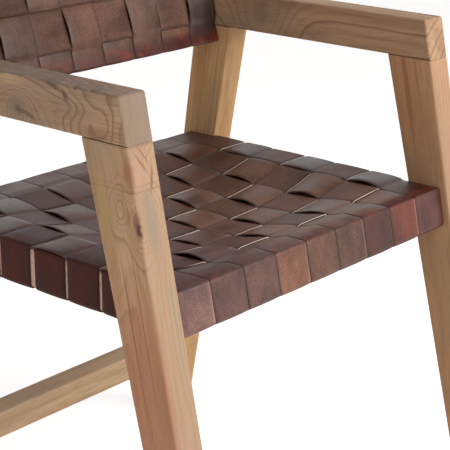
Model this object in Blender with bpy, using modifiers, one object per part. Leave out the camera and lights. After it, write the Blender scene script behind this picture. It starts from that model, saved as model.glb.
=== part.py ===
"""Armchair of two raked teak side frames, with a seat and a back of woven leather straps.

Metres, +Z up. The origin is on the floor under the middle of the chair, the front faces -Y and
left is -X, as seen from the front. Seat and back are the same kind of panel: a wooden frame
wrapped with straps that run from edge to edge, over and under the straps that cross them.
"""
import math

import bmesh
import bpy
from mathutils import Matrix, Vector

# Overall sizes
SEAT_HEIGHT = 0.4535         # floor to the top of the weave at the seat's edge
ARM_HEIGHT = 0.650           # floor to the top of the arm
INNER_WIDTH = 0.477          # between the two side frames
BOARD = 0.037                # arms and legs, measured across the chair

# Side frames
ARM_DEPTH = 0.048            # arm, top to underside
ARM_OVERHANG = 0.012         # arm past the rear leg's back face
LEG_TOP_WIDTH = 0.062        # leg under the arm, front to back
LEG_FOOT_WIDTH = 0.038       # leg at the floor, front to back
FRONT_SET_BACK = 0.1234      # rise of the front leg: its top lies this far behind its toe
REAR_SET_BACK = 0.0879       # the rear leg's top lies this far ahead of its heel
EDGE_ROUND = 0.0025          # rounding of the teak's long edges
EDGE_STEPS = 2
ROUND_PROFILE_SHARE = 0.5    # a bevel of this profile is a circle's arc

# Leg tenon in the arm
LEG_TENON_THICK = 0.012
LEG_TENON_WIDTH = 0.040
LEG_TENON_LENGTH = 0.020

# Rear stretcher
STRETCHER_SECTION = 0.036
STRETCHER_TOP = 0.137        # floor to its top face
STRETCHER_TENON_WIDTH = 0.020
STRETCHER_TENON_HEIGHT = 0.022
STRETCHER_TENON_LENGTH = 0.024

# Foot glides
GLIDE_RADIUS = 0.011
GLIDE_HEIGHT = 0.004
GLIDE_ROUND = 0.001
GLIDE_STEM_RADIUS = 0.0025
GLIDE_STEM_LENGTH = 0.012

# Leather straps
LEATHER = 0.0022             # thickness
STRAP_WIDTH = 0.0475
STRAP_SLACK = 0.0008         # least gap between neighbours, past the leather that passes down it
SAG_GAP_SHARE = 0.01         # a seat that sags more parts its crossing straps by this share of it
TURN_RADIUS = 0.0031         # centre line of a strap that turns down from above its neighbour
RAMP_MARGIN = 0.00045        # a strap keeps flat this far past the strap that it crosses
TURN_STEPS = 3

# Seat panel
SEAT_DEPTH = 0.406           # at the top; the front face leans like the front legs
TOE_OUT = 0.1008             # front toe ahead of the seat's front edge
HEEL_OUT = 0.0802            # rear heel behind the seat's rear face
SEAT_FRONT_BARE = 0.0271     # front rail's inner edge to the first side-to-side strap
SEAT_REAR_BARE = 0.0129      # the same at the rear rail
SEAT_RAIL_HEIGHT = 0.045
SEAT_RAIL_WIDTH = 0.034      # front and rear rails, at the underside
SEAT_SIDE_WIDTH = 0.040      # side rails
SEAT_SAG = 0.0225
SEAT_SAG_AT = 0.159          # the deepest place behind the seat's front edge
SEAT_TAIL = 0.030            # strap under the rail, from the rail's face
SEAT_TENON_WIDTH = 0.022
SEAT_TENON_HEIGHT = 0.020
SEAT_TENON_LENGTH = 0.022
SEAT_TENON_SHOULDER = 0.004  # least wood beside that tenon, in the rail and in the leg
RAIL_TENON_WIDTH = 0.026     # side rail into the front and rear rails
RAIL_TENON_HEIGHT = 0.012
RAIL_TENON_LENGTH = 0.020
RAIL_ROUND = 0.004           # rounding of the rails under the leather

# Corner blocks of the seat frame
BLOCK_LEG = 0.042
BLOCK_HEIGHT = 0.028

# Back panel
BACK_LEAN = math.radians(13)
BACK_UNDER_ARM = 0.019       # lower front edge of the panel below the arm's underside
BACK_SET_IN = 0.0143         # that edge behind the rear leg's front face, at the leg's top
BACK_LENGTH = 0.2618         # along the slope
BACK_BARE = 0.00185          # each rail's inner edge to the nearest cross strap
BACK_RAIL_WIDTH = 0.026      # along the slope
BACK_RAIL_THICK = 0.024
BACK_SIDE_WIDTH = 0.034
BACK_SAG = 0.008
BACK_TAIL = 0.020
BACK_TENON_WIDTH = 0.020
BACK_TENON_THICK = 0.008
BACK_TENON_WALL = 0.001      # between the stile's tenon and the dowel's hole

# Fasteners of the back
DOWEL_RADIUS = 0.004
DOWEL_LENGTH = 0.048
DOWEL_WALL = 0.005           # rail left below the dowel, along the slope
BOLT_ABOVE_TENON = 0.010     # bolt's axis above the end of the leg's tenon
BOLT_RADIUS = 0.003
BOLT_HEAD_RADIUS = 0.0065
BOLT_HEAD_HEIGHT = 0.004
BOLT_HEAD_ROUND = 0.001
BOLT_IN_ARM = 0.018

# Fits
CLEARANCE = 0.0003           # between pieces that touch
OVERRUN = 0.005              # cutters past a surface, and tenons into their own piece
ROUND_STEPS = 16

# Derived sizes
ARM_UNDER = ARM_HEIGHT - ARM_DEPTH
HALF_INNER = INNER_WIDTH / 2
BOARD_MIDDLE = HALF_INNER + BOARD / 2
PANEL_HALF = HALF_INNER - CLEARANCE
STRAP_GAP = LEATHER + STRAP_SLACK
LEVEL_STEP = LEATHER + CLEARANCE + SAG_GAP_SHARE * SEAT_SAG
UPPER_LEVEL = -LEATHER / 2
LOWER_LEVEL = UPPER_LEVEL - LEVEL_STEP
RAIL_TOP = LOWER_LEVEL - LEATHER / 2 - CLEARANCE
RAIL_INSET = LEATHER + CLEARANCE
FOOT_SPAN = TOE_OUT + SEAT_DEPTH + HEEL_OUT
SEAT_FRONT = -FOOT_SPAN / 2 + TOE_OUT
BACK_BOTTOM = ARM_UNDER - BACK_UNDER_ARM
DOWEL_UP = RAIL_INSET + DOWEL_WALL + DOWEL_RADIUS
BACK_TENON_LENGTH = BACK_RAIL_WIDTH - DOWEL_WALL - 2 * DOWEL_RADIUS - BACK_TENON_WALL

SIDES = (("left", -1), ("right", 1))


def clear_scene():
    """Remove whatever the file holds."""
    for item in list(bpy.data.objects):
        bpy.data.objects.remove(item, do_unlink=True)
    for group in list(bpy.data.collections):
        bpy.data.collections.remove(group)


def make_collection(name):
    """A collection linked to the scene."""
    group = bpy.data.collections.new(name)
    bpy.context.scene.collection.children.link(group)
    return group


def make_material(name, color, roughness, metallic=0.0):
    """A plain Principled material, kept for the pieces that share it."""
    material = bpy.data.materials.new(name)
    material.use_nodes = True
    shader = material.node_tree.nodes["Principled BSDF"]
    shader.inputs["Base Color"].default_value = (*color, 1.0)
    shader.inputs["Roughness"].default_value = roughness
    shader.inputs["Metallic"].default_value = metallic
    material.diffuse_color = (*color, 1.0)
    return material


clear_scene()
CHAIR = make_collection("leather_armchair")
CUTTERS = make_collection("cutters")
TEAK_OUTER = make_material("teak", (0.42, 0.25, 0.13), 0.55)
TEAK_INNER = make_material("teak_frame", (0.36, 0.20, 0.10), 0.65)
LEATHER_LONG = make_material("leather_front_to_back", (0.115, 0.062, 0.050), 0.45)
LEATHER_CROSS = make_material("leather_side_to_side", (0.085, 0.045, 0.038), 0.45)
NYLON = make_material("nylon", (0.03, 0.03, 0.03), 0.6)
STEEL = make_material("steel", (0.55, 0.55, 0.56), 0.3, 1.0)


def add_object(name, mesh, material, parent=None):
    """Put a finished mesh in the chair's collection."""
    mesh.name = name
    piece = bpy.data.objects.new(name, mesh)
    piece.data.materials.append(material)
    piece.parent = parent
    CHAIR.objects.link(piece)
    return piece


def mesh_from(build):
    """A mesh from a bmesh that is closed and faces out."""
    bmesh.ops.recalc_face_normals(build, faces=build.faces)
    mesh = bpy.data.meshes.new("shape")
    build.to_mesh(mesh)
    build.free()
    return mesh


def box_mesh(low, high):
    """A box between two opposite corners."""
    build = bmesh.new()
    bmesh.ops.create_cube(build, size=1.0)
    size = Vector(high) - Vector(low)
    bmesh.ops.scale(build, vec=size, verts=build.verts)
    bmesh.ops.translate(build, vec=(Vector(high) + Vector(low)) / 2, verts=build.verts)
    return mesh_from(build)


def rounded_box_mesh(low, high, radius, steps, axis):
    """A box whose four edges along one axis are rounded."""
    build = bmesh.new()
    build.from_mesh(box_mesh(low, high))
    long_edges = []
    for edge in build.edges:
        way = (edge.verts[1].co - edge.verts[0].co).normalized()
        if abs(way[axis]) > math.cos(math.radians(1)):
            long_edges.append(edge)
    bmesh.ops.bevel(build, geom=long_edges, offset=radius, segments=steps, profile=ROUND_PROFILE_SHARE,
                    affect="EDGES")
    return mesh_from(build)


def board_mesh(outline, low, high, axis, keep_sharp, radius, steps):
    """A flat board from an outline, with rounded edges but for those that keep_sharp picks.

    The outline lies in the plane across the axis; low and high are its faces along it.
    """
    build = bmesh.new()
    others = [index for index in range(3) if index != axis]
    corners = []
    for first, second in outline:
        place = [0.0, 0.0, 0.0]
        place[axis] = low
        place[others[0]] = first
        place[others[1]] = second
        corners.append(build.verts.new(place))
    face = build.faces.new(corners)
    grown = bmesh.ops.extrude_face_region(build, geom=[face])
    moved = [item for item in grown["geom"] if isinstance(item, bmesh.types.BMVert)]
    shift = [0.0, 0.0, 0.0]
    shift[axis] = high - low
    bmesh.ops.translate(build, vec=shift, verts=moved)
    bmesh.ops.recalc_face_normals(build, faces=build.faces)
    if radius > 0:
        rounded = [edge for edge in build.edges if not keep_sharp(edge)]
        bmesh.ops.bevel(build, geom=rounded, offset=radius, segments=steps, profile=ROUND_PROFILE_SHARE,
                        affect="EDGES")
    return mesh_from(build)


def rod_mesh(radius, low, high):
    """A cylinder along X."""
    build = bmesh.new()
    bmesh.ops.create_cone(build, cap_ends=True, cap_tris=False, segments=ROUND_STEPS,
                          radius1=radius, radius2=radius, depth=high - low)
    bmesh.ops.rotate(build, matrix=Matrix.Rotation(math.radians(90), 3, "Y"), verts=build.verts)
    bmesh.ops.translate(build, vec=((high + low) / 2, 0.0, 0.0), verts=build.verts)
    return mesh_from(build)


def turned_object(name, profile, material, parent=None):
    """A turned piece: its profile, given as radius and height, goes round the Z axis."""
    build = bmesh.new()
    line = [build.verts.new((radius, 0.0, height)) for radius, height in profile]
    for start, end in zip(line, line[1:]):
        build.edges.new((start, end))
    mesh = bpy.data.meshes.new("profile")
    build.to_mesh(mesh)
    build.free()
    piece = add_object(name, mesh, material, parent)
    turn = piece.modifiers.new("turn", "SCREW")
    turn.axis = "Z"
    turn.steps = ROUND_STEPS
    turn.render_steps = ROUND_STEPS
    turn.use_merge_vertices = True
    turn.merge_threshold = 0.00001
    turn.use_smooth_shade = False
    return piece


def add_cutter(mesh, parent=None):
    """A shape that only cuts or joins; it is no piece of the chair."""
    cutter = bpy.data.objects.new("cutter", mesh)
    cutter.parent = parent
    cutter.hide_render = True
    cutter.display_type = "WIRE"
    CUTTERS.objects.link(cutter)
    return cutter


def join_shape(piece, mesh, parent=None):
    """Union a shape into a piece."""
    joined = piece.modifiers.new("join", "BOOLEAN")
    joined.operation = "UNION"
    joined.solver = "EXACT"
    joined.object = add_cutter(mesh, parent)


def cut_shape(piece, mesh, parent=None):
    """Take a shape out of a piece."""
    cut = piece.modifiers.new("cut", "BOOLEAN")
    cut.operation = "DIFFERENCE"
    cut.solver = "EXACT"
    cut.object = add_cutter(mesh, parent)


def grow(low, high, amount):
    """The same box, larger by one amount on every side."""
    spread = Vector((amount, amount, amount))
    return Vector(low) - spread, Vector(high) + spread


def tenon_joint(with_tenon, with_mortise, low, high, parent=None):
    """A tenon on one piece and the mortise for it in another."""
    join_shape(with_tenon, box_mesh(low, high), parent)
    cut_shape(with_mortise, box_mesh(*grow(low, high, CLEARANCE)), parent)


def leg_width(height):
    """Front-to-back width of a leg at a height above the floor."""
    share = height / ARM_UNDER
    return LEG_FOOT_WIDTH + (LEG_TOP_WIDTH - LEG_FOOT_WIDTH) * share


def front_leg_span(height):
    """Front and rear face of the front leg at a height."""
    front = -FOOT_SPAN / 2 + FRONT_SET_BACK * height / ARM_UNDER
    return front, front + leg_width(height)


def rear_leg_span(height):
    """Front and rear face of the rear leg at a height."""
    rear = FOOT_SPAN / 2 - REAR_SET_BACK * height / ARM_UNDER
    return rear - leg_width(height), rear


def shared_span(first, second):
    """The stretch that two spans share."""
    return max(first[0], second[0]), min(first[1], second[1])


def lies_flat(edge):
    """Whether an edge lies level."""
    return abs(edge.verts[0].co.z - edge.verts[1].co.z) < CLEARANCE


def arm_end_below(edge):
    """Whether an edge is where the arm's end meets the leg's face."""
    across = abs(edge.verts[0].co.x - edge.verts[1].co.x) > CLEARANCE
    low = max(vert.co.z for vert in edge.verts) < ARM_UNDER + CLEARANCE
    return across and low


def board_faces(side):
    """Inner and outer face of a side frame, lower X first."""
    inner = side * HALF_INNER
    outer = side * (HALF_INNER + BOARD)
    return min(inner, outer), max(inner, outer)


def make_leg(name, span, side):
    """One tapered, raked leg."""
    foot = GLIDE_HEIGHT + CLEARANCE
    top = ARM_UNDER - CLEARANCE
    outline = [(span(foot)[0], foot), (span(foot)[1], foot), (span(top)[1], top), (span(top)[0], top)]
    low, high = board_faces(side)
    mesh = board_mesh(outline, low, high, 0, lies_flat, EDGE_ROUND, EDGE_STEPS)
    return add_object(name, mesh, TEAK_OUTER)


def make_arm(name, side):
    """One arm, with its front end raked like the leg's face."""
    front_low = front_leg_span(ARM_UNDER)[0]
    front_high = front_leg_span(ARM_HEIGHT)[0]
    rear_low = rear_leg_span(ARM_UNDER)[1] + ARM_OVERHANG
    rear_high = rear_leg_span(ARM_HEIGHT)[1] + ARM_OVERHANG
    outline = [(front_low, ARM_UNDER), (rear_low, ARM_UNDER), (rear_high, ARM_HEIGHT),
               (front_high, ARM_HEIGHT)]
    low, high = board_faces(side)
    mesh = board_mesh(outline, low, high, 0, arm_end_below, EDGE_ROUND, EDGE_STEPS)
    return add_object(name, mesh, TEAK_OUTER)


def make_glide(name, side, span):
    """A nylon glide nailed under a foot, and its hole."""
    profile = [
        (0.0, GLIDE_HEIGHT + GLIDE_STEM_LENGTH),
        (GLIDE_STEM_RADIUS, GLIDE_HEIGHT + GLIDE_STEM_LENGTH),
        (GLIDE_STEM_RADIUS, GLIDE_HEIGHT),
        (GLIDE_RADIUS, GLIDE_HEIGHT),
        (GLIDE_RADIUS, GLIDE_ROUND),
        (GLIDE_RADIUS - GLIDE_ROUND, 0.0),
        (0.0, 0.0),
    ]
    glide = turned_object(name, profile, NYLON)
    glide.location = (side * BOARD_MIDDLE, sum(span(0.0)) / 2, 0.0)
    return glide


def drill_glide_hole(leg, side, span):
    """The hole for a glide's stem, up into the foot."""
    build = bmesh.new()
    low = GLIDE_HEIGHT - OVERRUN
    high = GLIDE_HEIGHT + GLIDE_STEM_LENGTH + CLEARANCE
    bmesh.ops.create_cone(build, cap_ends=True, cap_tris=False, segments=ROUND_STEPS,
                          radius1=GLIDE_STEM_RADIUS + CLEARANCE,
                          radius2=GLIDE_STEM_RADIUS + CLEARANCE, depth=high - low)
    place = (side * BOARD_MIDDLE, sum(span(0.0)) / 2, (low + high) / 2)
    bmesh.ops.translate(build, vec=place, verts=build.verts)
    cut_shape(leg, mesh_from(build))


def join_leg_to_arm(leg, arm, side, span):
    """The leg's tenon in the arm."""
    middle = sum(span(ARM_UNDER)) / 2
    low = (side * BOARD_MIDDLE - LEG_TENON_THICK / 2, middle - LEG_TENON_WIDTH / 2, ARM_UNDER - OVERRUN)
    high = (side * BOARD_MIDDLE + LEG_TENON_THICK / 2, middle + LEG_TENON_WIDTH / 2,
            ARM_UNDER + LEG_TENON_LENGTH)
    tenon_joint(leg, arm, low, high)


def make_side_frame(word, side):
    """An arm on two legs."""
    arm = make_arm(f"arm_{word}", side)
    front = make_leg(f"front_leg_{word}", front_leg_span, side)
    rear = make_leg(f"rear_leg_{word}", rear_leg_span, side)
    for leg, span, end in ((front, front_leg_span, "front"), (rear, rear_leg_span, "rear")):
        join_leg_to_arm(leg, arm, side, span)
        drill_glide_hole(leg, side, span)
        make_glide(f"glide_{end}_{word}", side, span)
    return {"arm": arm, "front": front, "rear": rear}


def make_stretcher(frames):
    """The bar between the rear legs."""
    middle_height = STRETCHER_TOP - STRETCHER_SECTION / 2
    middle = sum(rear_leg_span(middle_height)) / 2
    half = STRETCHER_SECTION / 2
    low = (-PANEL_HALF, middle - half, STRETCHER_TOP - STRETCHER_SECTION)
    high = (PANEL_HALF, middle + half, STRETCHER_TOP)
    mesh = rounded_box_mesh(low, high, EDGE_ROUND, EDGE_STEPS, 0)
    bar = add_object("rear_stretcher", mesh, TEAK_OUTER)
    for word, side in SIDES:
        ends = sorted((side * (HALF_INNER - OVERRUN), side * (HALF_INNER + STRETCHER_TENON_LENGTH)))
        low = (ends[0], middle - STRETCHER_TENON_WIDTH / 2, middle_height - STRETCHER_TENON_HEIGHT / 2)
        high = (ends[1], middle + STRETCHER_TENON_WIDTH / 2, middle_height + STRETCHER_TENON_HEIGHT / 2)
        tenon_joint(bar, frames[word]["rear"], low, high)
    return bar


def arc_points(middle, radius, start, end):
    """Points of a quarter turn, ends included."""
    points = []
    for step in range(TURN_STEPS + 1):
        angle = math.radians(start + (end - start) * step / TURN_STEPS)
        points.append((middle[0] + radius * math.cos(angle), middle[1] + radius * math.sin(angle)))
    return points


def strap_places(low, high):
    """Centres of as many straps as fit side by side between two edges."""
    count = int((high - low + STRAP_GAP) / (STRAP_WIDTH + STRAP_GAP))
    pitch = (high - low - STRAP_WIDTH) / (count - 1)
    return [low + STRAP_WIDTH / 2 + pitch * index for index in range(count)]


def turn_middle(edge, height, inside, lean):
    """Centre of a turn that touches a panel's end face on its inner side.

    The face passes through the edge at the panel's top and leans out below it. The centre lies
    this far inside the face and at this height.
    """
    return edge + inside / math.cos(lean) + height * math.tan(lean), height


def half_path(edge, level, rail_height, tail, lean):
    """A strap's end: from its tail under the rail, round both edges and up to its first level.

    It runs towards larger places; the far end is the same path mirrored.
    """
    wide = RAIL_ROUND + CLEARANCE + LEATHER / 2
    narrow = TURN_RADIUS if level == UPPER_LEVEL else wide
    under = RAIL_TOP - rail_height - CLEARANCE - LEATHER / 2
    face = 180 - math.degrees(lean)
    low_turn = turn_middle(edge, under + wide, LEATHER / 2 + wide, lean)
    high_turn = turn_middle(edge, level - narrow, LEATHER / 2 + narrow, lean)
    points = [(edge + under * math.tan(lean) + tail, under)]
    points += arc_points(low_turn, wide, 270, face)
    points += arc_points(high_turn, narrow, face, 90)
    return points


def end_rail_inner(width, rail_height, lean):
    """How far an end rail's inner face lies behind the panel's edge, for its width underneath."""
    bottom = RAIL_TOP - rail_height
    return turn_middle(0.0, bottom, RAIL_INSET, lean)[0] + width


def end_rail_mesh(edge, width, rail_height, lean, way):
    """An end rail, its outer face parallel to the leather; way is 1 at the near end, -1 at the far."""
    bottom = RAIL_TOP - rail_height
    face = 180 - math.degrees(lean)
    low_turn = turn_middle(0.0, bottom + RAIL_ROUND, RAIL_INSET + RAIL_ROUND, lean)
    high_turn = turn_middle(0.0, RAIL_TOP - RAIL_ROUND, RAIL_INSET + RAIL_ROUND, lean)
    inner = end_rail_inner(width, rail_height, lean) - RAIL_ROUND
    outline = arc_points(low_turn, RAIL_ROUND, 270, face)
    outline += arc_points(high_turn, RAIL_ROUND, face, 90)
    outline += arc_points((inner, RAIL_TOP - RAIL_ROUND), RAIL_ROUND, 90, 0)
    outline += arc_points((inner, bottom + RAIL_ROUND), RAIL_ROUND, 0, -90)
    outline = [(edge + way * place, height) for place, height in outline]
    return board_mesh(outline, -PANEL_HALF, PANEL_HALF, 0, lies_flat, 0.0, EDGE_STEPS)


def strap_path(low, high, crossings, rests_first, rail_height, tail, rail_edges, lean):
    """A strap's whole centre line as (place, height) points.

    crossings holds (centre, level) of each strap that it meets. A strap that rests on its end
    rails before it meets the first one starts at the lower level. Only the near end's
    face leans.
    """
    first_level = LOWER_LEVEL if rests_first else crossings[0][1]
    last_level = LOWER_LEVEL if rests_first else crossings[-1][1]
    start = half_path(low, first_level, rail_height, tail, lean)
    far = half_path(0.0, last_level, rail_height, tail, 0.0)
    finish = [(high - place, height) for place, height in reversed(far)]
    flat = STRAP_WIDTH / 2 + RAMP_MARGIN
    ramp = STRAP_GAP - RAMP_MARGIN
    knots = []
    if crossings[0][1] != first_level:
        knots.append((crossings[0][0] - flat - ramp, first_level))
    for centre, level in crossings:
        knots.append((centre - flat, level))
        knots.append((centre + flat, level))
    if crossings[-1][1] != last_level:
        knots.append((crossings[-1][0] + flat + ramp, last_level))
    lowest, highest = start[-1][0] + CLEARANCE, finish[0][0] - CLEARANCE
    knots = [knot for knot in knots if lowest < knot[0] < highest]
    knots = [start[-1], *knots, finish[0]]
    for edge in rail_edges:
        for index, (before, after) in enumerate(zip(knots, knots[1:])):
            level_run = abs(before[1] - after[1]) < CLEARANCE
            if level_run and before[0] + CLEARANCE < edge < after[0] - CLEARANCE:
                knots.insert(index + 1, (edge, before[1]))
                break
    return start[:-1] + knots + finish[1:]


def dish(panel, across, along):
    """How far the weave sags at a place on a panel."""
    share_across = across / panel["sag_across"]
    end = panel["near_inner"] if along < panel["sag_at"] else panel["length"] - panel["far_inner"]
    share_along = (along - panel["sag_at"]) / abs(end - panel["sag_at"])
    if abs(share_across) >= 1 or abs(share_along) >= 1:
        return 0.0
    return panel["sag"] * (1 - share_across ** 2) * (1 - share_along ** 2)


def make_strap(name, panel, path, middle, runs_along, material):
    """One strap: a ribbon along its path, sagging with the panel, with the leather's thickness."""
    build = bmesh.new()
    pairs = []
    for place, height in path:
        pair = []
        for edge in (middle - STRAP_WIDTH / 2, middle + STRAP_WIDTH / 2):
            across, along = (edge, place) if runs_along else (place, edge)
            top = height if height < LOWER_LEVEL - CLEARANCE else height - dish(panel, across, along)
            pair.append(build.verts.new((across, along, top)))
        pairs.append(pair)
    for near, far in zip(pairs, pairs[1:]):
        build.faces.new((near[0], near[1], far[1]))
        build.faces.new((near[0], far[1], far[0]))
    bmesh.ops.recalc_face_normals(build, faces=build.faces)
    mesh = bpy.data.meshes.new("ribbon")
    build.to_mesh(mesh)
    build.free()
    strap = add_object(name, mesh, material, panel["empty"])
    skin = strap.modifiers.new("leather", "SOLIDIFY")
    skin.thickness = LEATHER
    skin.offset = 0.0
    skin.use_even_offset = True
    skin.use_quality_normals = True
    return strap


def weave_straps(panel, prefix):
    """All straps of a panel: the long ones along it and the cross ones side to side."""
    turn_room = CLEARANCE + LEATHER / 2 + TURN_RADIUS + CLEARANCE
    long_places = strap_places(-HALF_INNER + turn_room, HALF_INNER - turn_room)
    cross_places = strap_places(panel["near_inner"] + panel["bare_first"],
                                panel["length"] - panel["far_inner"] - panel["bare_last"])
    panel["sag_across"] = long_places[-1] - STRAP_WIDTH / 2
    straps = {"long": [], "cross": []}
    for index, middle in enumerate(long_places):
        crossings = []
        for row, centre in enumerate(cross_places):
            crossings.append((centre, LOWER_LEVEL if (index + row) % 2 else UPPER_LEVEL))
        path = strap_path(0.0, panel["length"], crossings, True, panel["rail_height"], panel["tail"],
                          (panel["near_inner"], panel["length"] - panel["far_inner"]), panel["lean"])
        straps["long"].append(make_strap(f"{prefix}_long_strap_{index + 1}", panel, path, middle,
                                         True, LEATHER_LONG))
    for row, middle in enumerate(cross_places):
        crossings = []
        for index, centre in enumerate(long_places):
            crossings.append((centre, UPPER_LEVEL if (index + row) % 2 else LOWER_LEVEL))
        path = strap_path(-PANEL_HALF, PANEL_HALF, crossings, False, panel["rail_height"],
                          panel["tail"], (), 0.0)
        straps["cross"].append(make_strap(f"{prefix}_cross_strap_{row + 1}", panel, path, middle,
                                          False, LEATHER_CROSS))
    return straps


def make_panel_empty(name, location, tilt):
    """The empty that places a panel; its Z is the panel's face."""
    empty = bpy.data.objects.new(name, None)
    empty.location = location
    empty.rotation_euler = (tilt, 0.0, 0.0)
    CHAIR.objects.link(empty)
    return empty


def make_rail_frame(panel, names, end_width, side_width, tenon):
    """A panel's wooden frame: two end rails of full width and two side rails tenoned between them."""
    top = RAIL_TOP
    bottom = RAIL_TOP - panel["rail_height"]
    empty = panel["empty"]
    length = panel["length"]
    rails = {}
    for name, edge, way, lean in ((names[0], 0.0, 1, panel["lean"]), (names[1], length, -1, 0.0)):
        mesh = end_rail_mesh(edge, end_width, panel["rail_height"], lean, way)
        rails[name] = add_object(name, mesh, TEAK_INNER, empty)
    inner_low = panel["near_inner"]
    inner_high = length - panel["far_inner"]
    middle_height = (top + bottom) / 2
    for name, side in ((names[2], -1), (names[3], 1)):
        outer = side * (PANEL_HALF - RAIL_INSET)
        inner = side * (PANEL_HALF - RAIL_INSET - side_width)
        low = (min(outer, inner), inner_low + CLEARANCE, bottom)
        high = (max(outer, inner), inner_high - CLEARANCE, top)
        mesh = rounded_box_mesh(low, high, RAIL_ROUND, TURN_STEPS, 1)
        rails[name] = add_object(name, mesh, TEAK_INNER, empty)
        centre = (outer + inner) / 2
        for rail, edge, way in ((names[0], inner_low, -1), (names[1], inner_high, 1)):
            ends = sorted((edge - way * OVERRUN, edge + way * tenon["length"]))
            low = (centre - tenon["width"] / 2, ends[0], middle_height - tenon["height"] / 2)
            high = (centre + tenon["width"] / 2, ends[1], middle_height + tenon["height"] / 2)
            tenon_joint(rails[name], rails[rail], low, high, empty)
    return rails


def join_seat_to_legs(rail, leg, rail_span, leg_span, side):
    """The tenon on a seat rail's end, in a leg."""
    height = SEAT_HEIGHT + RAIL_TOP - SEAT_RAIL_HEIGHT / 2
    start, end = shared_span(rail_span, leg_span(height))
    width = min(SEAT_TENON_WIDTH, end - start - 2 * SEAT_TENON_SHOULDER)
    middle = (start + end) / 2
    ends = sorted((side * (HALF_INNER - OVERRUN), side * (HALF_INNER + SEAT_TENON_LENGTH)))
    low = (ends[0], middle - width / 2, height - SEAT_TENON_HEIGHT / 2)
    high = (ends[1], middle + width / 2, height + SEAT_TENON_HEIGHT / 2)
    tenon_joint(rail, leg, low, high)


def make_corner_block(name, panel, side, end):
    """A triangular block in a corner of the seat frame; end is -1 at the front, 1 at the rear."""
    corner_across = side * (PANEL_HALF - RAIL_INSET - SEAT_SIDE_WIDTH - CLEARANCE)
    if end < 0:
        corner_along = panel["near_inner"] + CLEARANCE
    else:
        corner_along = panel["length"] - panel["far_inner"] - CLEARANCE
    outline = [
        (corner_across, corner_along),
        (corner_across - side * BLOCK_LEG, corner_along),
        (corner_across, corner_along - end * BLOCK_LEG),
    ]
    bottom = RAIL_TOP - SEAT_RAIL_HEIGHT
    mesh = board_mesh(outline, bottom, bottom + BLOCK_HEIGHT, 2, lies_flat, 0.0, EDGE_STEPS)
    return add_object(name, mesh, TEAK_INNER, panel["empty"])


def make_seat(frames):
    """The seat panel between the side frames."""
    empty = make_panel_empty("seat", (0.0, SEAT_FRONT, SEAT_HEIGHT), 0.0)
    lean = math.atan(FRONT_SET_BACK / ARM_UNDER)
    panel = {
        "empty": empty,
        "length": SEAT_DEPTH,
        "lean": lean,
        "bare_first": SEAT_FRONT_BARE,
        "bare_last": SEAT_REAR_BARE,
        "rail_height": SEAT_RAIL_HEIGHT,
        "near_inner": end_rail_inner(SEAT_RAIL_WIDTH, SEAT_RAIL_HEIGHT, lean),
        "far_inner": end_rail_inner(SEAT_RAIL_WIDTH, SEAT_RAIL_HEIGHT, 0.0),
        "tail": SEAT_TAIL,
        "sag": SEAT_SAG,
        "sag_at": SEAT_SAG_AT,
    }
    tenon = {"width": RAIL_TENON_WIDTH, "height": RAIL_TENON_HEIGHT, "length": RAIL_TENON_LENGTH}
    names = ("seat_front_rail", "seat_rear_rail", "seat_left_rail", "seat_right_rail")
    rails = make_rail_frame(panel, names, SEAT_RAIL_WIDTH, SEAT_SIDE_WIDTH, tenon)
    middle_face = turn_middle(SEAT_FRONT, RAIL_TOP - SEAT_RAIL_HEIGHT / 2, RAIL_INSET, lean)[0]
    front_span = (middle_face, SEAT_FRONT + panel["near_inner"])
    seat_rear = SEAT_FRONT + SEAT_DEPTH
    rear_span = (seat_rear - panel["far_inner"], seat_rear - RAIL_INSET)
    for word, side in SIDES:
        join_seat_to_legs(rails[names[0]], frames[word]["front"], front_span, front_leg_span, side)
        join_seat_to_legs(rails[names[1]], frames[word]["rear"], rear_span, rear_leg_span, side)
        make_corner_block(f"corner_block_front_{word}", panel, side, -1)
        make_corner_block(f"corner_block_rear_{word}", panel, side, 1)
    weave_straps(panel, "seat")


def bolt_up_slope(panel):
    """Place of the back's bolt along the slope, for its height above the floor."""
    depth = RAIL_TOP - panel["rail_height"] / 2
    rise = BACK_UNDER_ARM + LEG_TENON_LENGTH + BOLT_ABOVE_TENON
    return (rise - depth * math.sin(BACK_LEAN)) / math.cos(BACK_LEAN)


def make_back(frames):
    """The back panel, leaning back between the arms' rear ends."""
    place = (0.0, rear_leg_span(ARM_UNDER)[0] + BACK_SET_IN, BACK_BOTTOM)
    empty = make_panel_empty("back", place, math.radians(90) - BACK_LEAN)
    inner = end_rail_inner(BACK_RAIL_WIDTH, BACK_RAIL_THICK, 0.0)
    panel = {
        "empty": empty,
        "length": BACK_LENGTH,
        "lean": 0.0,
        "bare_first": BACK_BARE,
        "bare_last": BACK_BARE,
        "rail_height": BACK_RAIL_THICK,
        "near_inner": inner,
        "far_inner": inner,
        "tail": BACK_TAIL,
        "sag": BACK_SAG,
        "sag_at": BACK_LENGTH / 2,
    }
    tenon = {"width": BACK_TENON_WIDTH, "height": BACK_TENON_THICK, "length": BACK_TENON_LENGTH}
    names = ("back_bottom_rail", "back_top_rail", "back_left_stile", "back_right_stile")
    rails = make_rail_frame(panel, names, BACK_RAIL_WIDTH, BACK_SIDE_WIDTH, tenon)
    straps = weave_straps(panel, "back")
    depth = RAIL_TOP - BACK_RAIL_THICK / 2
    for word, side in SIDES:
        fit_dowel(word, side, rails["back_bottom_rail"], frames[word]["rear"], empty, depth)
        fit_bolt(word, side, (rails[f"back_{word}_stile"], straps["cross"][0], frames[word]["arm"]),
                 panel, depth)


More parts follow.
